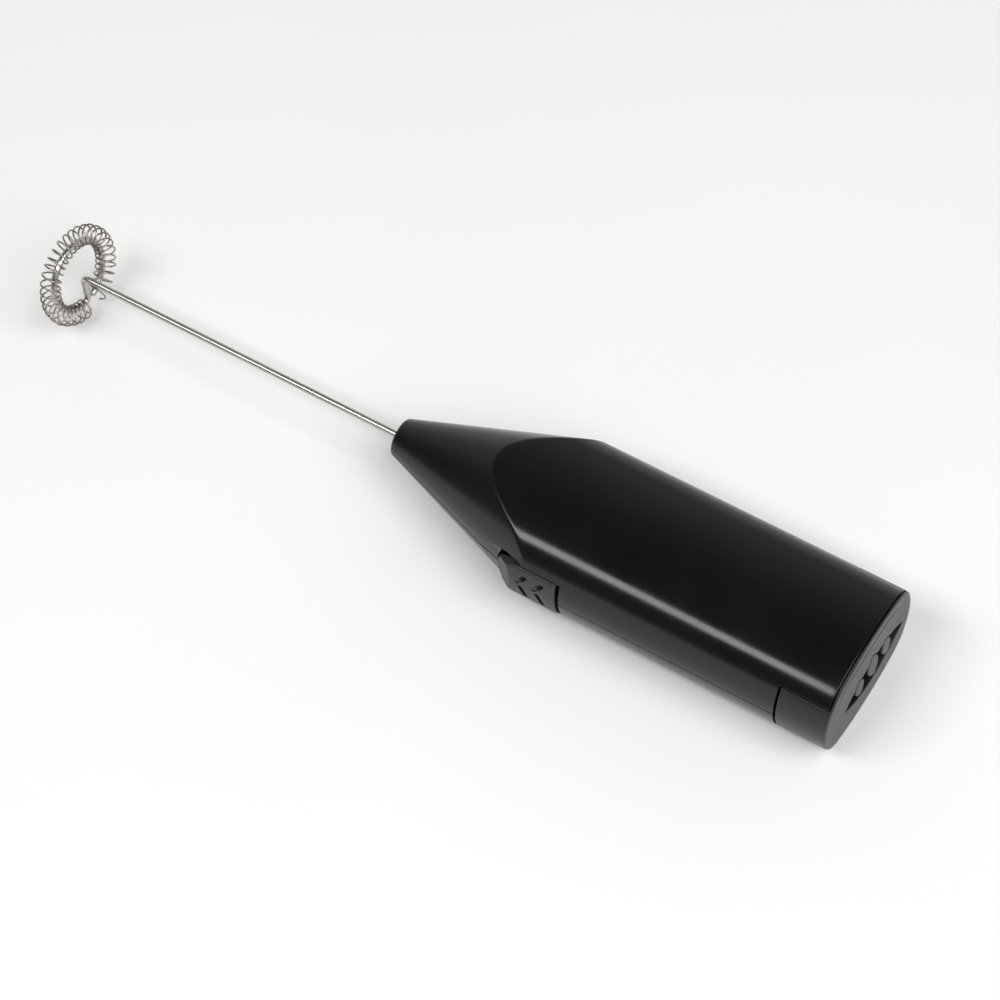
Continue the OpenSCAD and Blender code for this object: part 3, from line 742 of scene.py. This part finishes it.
def switch_mesh():
    """The switch's button with its chevrons, bevel and lip, and the flange that runs under the shell's wall."""
    us = button_lines(SWITCH_LEN, 10, 290)/SWITCH_LEN
    vs = button_lines(SWITCH_W, 12, 210) - SWITCH_W/2
    front = SWITCH_X + SWITCH_LEN - (BUTTON_FRONT_R - np.sqrt(BUTTON_FRONT_R**2 - vs**2))
    z_flat = vs[None, :] + 0*us[:, None]
    x = SWITCH_X + us[:, None]*(front[None, :] - SWITCH_X)
    z = narrowed(z_flat, x, NARROW_X)
    crown = BODY_W/2 - z**2/(2*BUTTON_CROWN_R)
    top = soft_min(crown, BODY_W/2 - (x - BEVEL_X)*BEVEL_SLOPE, 0.1)
    # chevrons that point to the whisk, each leg deeper and wider towards its end
    for cx in (67.2, 71.2):
        for side, start, reach, first, last, shallow in (
                (-1, 0.9, 3.9, 0.8, 1.9, -1), (1, 0.3, 3.2, 0, 1.9, 0.3)):
            ax, az, bx, bz = cx - first, side*start, cx - last, side*reach
            t = np.clip(((x - ax)*(bx - ax) + (z - az)*(bz - az))/((bx - ax)**2 + (bz - az)**2), 0, 1)
            deep = np.clip((t - shallow)/0.3, 0.3, 1)
            groove = np.hypot(x - ax - t*(bx - ax), z - az - t*(bz - az))
            dig = np.clip((0.32 + 0.26*deep - groove)/0.14, 0, 1)
            top = top - 0.9*deep*dig*dig*(3 - 2*dig)
    top = top - rounded(np.maximum(np.minimum(x - SWITCH_X, front[None, :] - x), 0), 0.14)
    top = top - rounded(SWITCH_W/2 - np.abs(z_flat), 0.34)
    grid = np.stack([x, top, z], axis=2)
    rows, cols = grid.shape[:2]
    verts = grid.reshape(-1, 3)
    faces = [(i*cols + j, i*cols + j + 1, (i + 1)*cols + j + 1, (i + 1)*cols + j)
             for i in range(rows - 1) for j in range(cols - 1)]
    rim = [i*cols for i in range(rows)] + [(rows - 1)*cols + j for j in range(1, cols)] + \
          [i*cols + cols - 1 for i in range(rows - 2, -1, -1)] + [j for j in range(cols - 2, 0, -1)]
    low = verts[rim].copy()
    in_lip = low[:, 0] > front[0] - LIP_LEN
    low[:, 1] = np.where(in_lip, cone_rho(SLOT_X1) + LIP_GAP, DEEP_Y)
    base = len(verts)
    n = len(rim)
    i0, i1 = np.nonzero(in_lip)[0][[0, -1]]
    verts = np.concatenate([verts, low])
    for k in range(n):
        m = (k + 1) % n
        faces.append((rim[k], rim[m], base + m, base + k))
    # underside: the lip, the step down behind it, and the deep part
    faces.append(tuple(base + k for k in range(i0, i1 + 1)))
    faces.append((base + i0 - 1, base + i0, base + i1, base + i1 + 1))
    faces.append(tuple(base + k for k in [*range(i1 + 1, n), *range(i0)]))
    # the flange that runs under the shell's wall
    flange_z = np.linspace(-7.2, 7.2, 25)
    flange_y = -SIDE_SHIFT + np.sqrt((SIDE_R - 2.05)**2 - flange_z**2)
    flange = np.array([np.stack([at + 0*flange_z, flange_y, flange_z], axis=1) for at in (62.2, 62.3, 66.7, 66.8)])
    return join((verts, faces), skin(flange[:, ::-1], 1.0))


button = sharpen(add_mesh("slide_switch_button", *switch_mesh()), 50)
finish(button, "switch", "switch_plastic", SWITCH_BLACK, "slide_switch")


# ---- whisk ----
LEG_X, CORE_R, RING_R, TILT, BEND_R = 192.5, 8.1, 9.3, math.radians(9), 1.6
COIL_MID, COIL_WIRE, WIRE_R, CORE_END = 2.2, 0.2, 0.75, 348.0


def from_ring(p):
    """Ring frame to axis frame: centre of the ring at the origin, foot at -Z, leaning about its foot."""
    p = np.asarray(p, float) + np.array([0, 0, CORE_R])
    c, s = math.cos(TILT), math.sin(TILT)
    x, z = p[..., 0]*c + p[..., 2]*s, -p[..., 0]*s + p[..., 2]*c
    return np.stack([x + LEG_X, p[..., 1], z - CORE_R], axis=-1)


def core_path():
    """The one wire of the shaft, the leg and the open ring."""
    path = [(x, 0, 0) for x in np.linspace(95.6, LEG_X - BEND_R, 60)]
    path += [(LEG_X - BEND_R + BEND_R*math.sin(a), 0, -BEND_R + BEND_R*math.cos(a))
             for a in np.linspace(0, math.pi/2, 12)[1:]]
    foot = 1.5
    path += [(LEG_X, 0, z) for z in np.linspace(-BEND_R, -CORE_R + foot, 8)[1:]]
    p0 = np.array([LEG_X, 0, -CORE_R + foot])
    a1 = foot/CORE_R
    p3 = from_ring([0, CORE_R*math.sin(a1), -CORE_R*math.cos(a1)])
    t3 = from_ring([0, CORE_R*math.sin(a1 + 0.01), -CORE_R*math.cos(a1 + 0.01)]) - p3
    t3 /= np.linalg.norm(t3)
    p1, p2 = p0 + np.array([0, 0, -0.8]), p3 - 0.8*t3
    for t in np.linspace(0, 1, 10)[1:]:
        path.append(tuple((1 - t)**3*p0 + 3*(1 - t)**2*t*p1 + 3*(1 - t)*t*t*p2 + t**3*p3))
    for a in np.linspace(a1, math.radians(CORE_END), 150)[1:]:
        path.append(tuple(from_ring([0, CORE_R*math.sin(a), -CORE_R*math.cos(a)])))
    return path


def coil_path():
    """The fine wire wound round the ring, each turn a little uneven."""
    turns, per = 32, 40
    n = turns*per
    pts = []
    jitter = [random.uniform(-1, 1) for _ in range(turns + 2)]
    size = [random.uniform(-1, 1) for _ in range(turns + 2)]
    for i in range(n + 1):
        k, f = divmod(i/per, 1)
        k = int(k)
        f = f*f*(3 - 2*f)
        wob = jitter[k] + (jitter[k + 1] - jitter[k])*f
        big = size[k] + (size[k + 1] - size[k])*f
        a = math.radians(8 + (346 - 8)*i/n + 1.1*wob)
        mid = COIL_MID*(0.975 + 0.02*big)
        turn = 2*math.pi*i/per
        out = np.array([0, math.sin(a), -math.cos(a)])
        pts.append(RING_R*out + mid*(math.cos(turn)*out + math.sin(turn)*np.array([1, 0, 0])))
    return from_ring(np.array(pts))


finish(add_mesh("whisk_shaft_wire", *tube(core_path(), WIRE_R, 24, 6)), "whisk", "whisk_steel", WIRE, "whisk_wire")
finish(add_mesh("whisk_coil_wire", *tube(coil_path(), COIL_WIRE, 8, 3)), "whisk", "whisk_steel", COIL, "whisk_coil")


# ---- cells, springs and lead ----
CELL_Y, CELL_R, CELL_LEN = 7.35, 7.1, 50.5
CELL_A_X, CELL_B_X = 7.4, 4.3
BAND_X = 37     # where a jacket's copper colour starts, from the flat end
# Profiles of a cell's jacket, case and insulator ring: distance from the flat end, radius
WRAP = [(0.12, 4.9), (0.02, 5.3), (0.05, 6.2), (0.16, 6.62), (0.42, 6.9), (0.8, 7.05), (1.3, CELL_R), (25, CELL_R),
        (47.9, CELL_R), (48.4, 7.05), (48.8, 6.88), (49.06, 6.6), (49.2, 6.1), (49.24, 5.0), (49.1, 4.8), (48.9, 5.2),
        (48.4, 5.6), (1.2, 5.6), (0.5, 5.2)]
STEEL = [(0.2, 0.3), (0.14, 2.6), (0.2, 3.0), (0.1, 3.5), (0.1, 4.6), (0.35, 4.85), (1.1, 5.4), (48.5, 5.4),
         (48.86, 4.9), (48.86, 3.3), (48.92, 2.78), (49.2, 2.7), (50.22, 2.7), (50.4, 2.6), (50.48, 2.35),
         (CELL_LEN, 2.0), (50.46, 0.3)]
RING = [(48.8, 2.95), (49.0, 3.0), (49.04, 3.4), (49.0, 4.55), (48.8, 4.7), (48.7, 3.8)]


def cell(name, node, flat_x, way, axis_y, band_x):
    """One cell: crimped steel case with its button, an insulator ring, and a shrunk jacket rolled over both ends."""
    film = jacket(name + "_film", band_x, way)
    for piece, profile, closed, material in (
            ("jacket", WRAP, True, film), ("case", STEEL, False, CASE), ("ring", RING, True, FIBRE)):
        placed = [(flat_x + way*x, r) for x, r in profile]
        verts, faces = lathe(placed if way > 0 else placed[::-1], axis_y, 96, closed)
        obj = sharpen(add_mesh(name + "_" + piece, verts, faces), 50)
        finish(obj, "cells", "cell_jacket", material, *([node] if piece == "jacket" else []))


def spring_path(x0, x1, y, wide, narrow, turns):
    """Conical spring with the start of its wide end's coil closed."""
    per = 48
    n = per*turns
    lift = np.clip((np.arange(n + 1)/n - 0.12)/0.88, 0, 1)
    a = 2*math.pi*np.arange(n + 1)/per
    r = wide + (narrow - wide)*np.arange(n + 1)/n
    return np.stack([x0 + (x1 - x0)*lift, y + r*np.cos(a), r*np.sin(a)], axis=1)


cell("cell_a", "battery_a", CELL_A_X, 1, CELL_Y, ORIGIN.x + (CELL_A_X + BAND_X)*MM)
cell("cell_b", "battery_b", CELL_B_X + CELL_LEN, -1, -CELL_Y, ORIGIN.x + (CELL_B_X + CELL_LEN - BAND_X)*MM)
lead_bend = [(61.6, -8.05 - 2.3*math.cos(a), 1.25 + 2*a/math.pi + 1.6*math.sin(a))
             for a in np.linspace(0, math.pi, 40)]
cap_coil = spring_path(3.7, 6.95, CELL_Y, 4.2, 2.4, 4)
front_coil = spring_path(57.8, 55.25, -CELL_Y, 4.2, 2.4, 3)
for name, node, path, r, body, slot, material in (
        ("cap_coil_spring", "cap_spring", cap_coil, 0.33, "cap", "spring_steel", SPRING),
        ("front_coil_spring", "front_spring", front_coil, 0.33, "handle", "spring_steel", SPRING),
        ("motor_lead", "negative_lead", lead_bend, 0.49, "handle", "lead_pvc", PVC)):
    finish(add_mesh(name, *tube(path, r, 16, 4)), body, slot, material, node)

# CAD nodes that keep their shape and get a material
for node, material in (
        ("switch_contact", BRASS), ("contact_carrier", NYLON), ("positive_contact", NICKEL),
        ("negative_contact", NICKEL), ("motor_contact", NICKEL), ("cap_bridge", NICKEL),
        ("motor_can", CAN), ("motor_end_bell", BELL), ("motor_magnets", FERRITE), ("motor_brushes", COPPER),
        ("motor_terminals", BRASS), ("front_bearing", BRONZE), ("rear_bearing", BRONZE), ("rotor_core", LAMINATION),
        ("rotor_windings", WINDING), ("commutator", COPPER), ("motor_shaft", SHAFT), ("shaft_coupling", ACETAL),
        ("nose_bush", BRONZE)):
    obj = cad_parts[node]
    obj.data.materials.clear()
    obj.data.materials.append(material)

# ---- stage ----
bpy.ops.mesh.primitive_plane_add(size=6)
floor = bpy.context.object
floor.name = "stage_floor"
m = Nodes("stage_floor")
paper = m.mix(m.span(m.noise(8, 3, 0.5), 0.3, 0.7, 0, 1), (0.86, 0.86, 0.86), (0.88, 0.88, 0.88))
floor.data.materials.append(m.done(paper, 0.9))


def studio_world():
    """A dim room: bright towards the -Y horizon, fading to dark overhead and dark low down on the +Y side."""
    world = bpy.data.worlds.new("studio")
    bpy.context.scene.world = world
    world.use_nodes = True
    tree = world.node_tree
    back = tree.nodes["Background"]
    co = tree.nodes.new("ShaderNodeTexCoord")
    xyz = tree.nodes.new("ShaderNodeSeparateXYZ")
    tree.links.new(co.outputs["Generated"], xyz.inputs["Vector"])

    def ramp(value, stops):
        r = tree.nodes.new("ShaderNodeValToRGB")
        e = r.color_ramp.elements
        e[0].position, e[1].position = stops[0][0], stops[-1][0]
        for at, _ in stops[1:-1]:
            e.new(at)
        for i, (_, c) in enumerate(stops):
            e[i].color = (c, c, c, 1)
        tree.links.new(value, r.inputs["Fac"])
        return r.outputs["Color"]

    # height above the horizon turned into light, more of it on the -Y side
    far_stops = ((0.0, 0.95), (0.25, 0.75), (0.6, 0.42), (0.82, 0.16), (0.9, 0.05), (1.0, 0.03))
    far_side = ramp(xyz.outputs["Z"], far_stops)
    near_side = ramp(xyz.outputs["Z"], ((0.0, 0.25), (0.3, 0.12), (0.7, 0.08), (1.0, 0.03)))
    side = tree.nodes.new("ShaderNodeMapRange")
    side.inputs["From Min"].default_value = 0.25
    side.inputs["From Max"].default_value = -0.25
    tree.links.new(xyz.outputs["Y"], side.inputs["Value"])
    mix = tree.nodes.new("ShaderNodeMix")
    mix.data_type = "RGBA"
    tree.links.new(side.outputs["Result"], mix.inputs["Factor"])
    tree.links.new(near_side, mix.inputs["A"])
    tree.links.new(far_side, mix.inputs["B"])
    tree.links.new(mix.outputs["Result"], back.inputs["Color"])
    back.inputs["Strength"].default_value = 1.0


studio_world()
bpy.context.scene.view_settings.view_transform = "Standard"


def panel(name, toward, away, size, radiance, color=(1, 1, 1)):
    """Soft light panel of a given radiance, in direction toward, facing the object."""
    light = bpy.data.lights.new(name, "AREA")
    light.shape = "RECTANGLE"
    light.size, light.size_y = size
    light.energy = radiance*math.pi*size[0]*size[1]
    light.color = color
    obj = bpy.data.objects.new(name, light)
    z = Vector(toward).normalized()
    obj.location = z*away + Vector((-0.05, 0, 0.012))
    x = Vector((1, 0, 0))
    x = (x - z*x.dot(z)).normalized()
    y = z.cross(x)
    obj.rotation_euler = Matrix((x, y, z)).transposed().to_euler()
    bpy.context.scene.collection.objects.link(obj)


panel("corner_light", (0.31, 0.445, 0.838), 1.0, (0.55, 0.3), 8.6, (1.0, 0.97, 0.94))
panel("key_light", (-0.6, 0.15, 0.8), 1.3, (1.1, 1.1), 4.0)

# ---- camera ----
camera = bpy.data.cameras.new("photo_view")
camera.sensor_width = 36
camera.lens = 118.66
camera.clip_start, camera.clip_end = 0.01, 50
eye = bpy.data.objects.new("photo_view", camera)
right = Vector((-0.8493, -0.5256, -0.0483)).normalized()
ahead = Vector((0.3101, -0.4229, -0.8515)).normalized()
up = right.cross(ahead).normalized()
eye.matrix_world = Matrix((
    (right.x, up.x, -ahead.x, 0), (right.y, up.y, -ahead.y, 0), (right.z, up.z, -ahead.z, 0), (0, 0, 0, 1)))
eye.location = Vector((-0.12617, 0.2900, 0.57825)) + ORIGIN
bpy.context.scene.collection.objects.link(eye)
bpy.context.scene.camera = eye
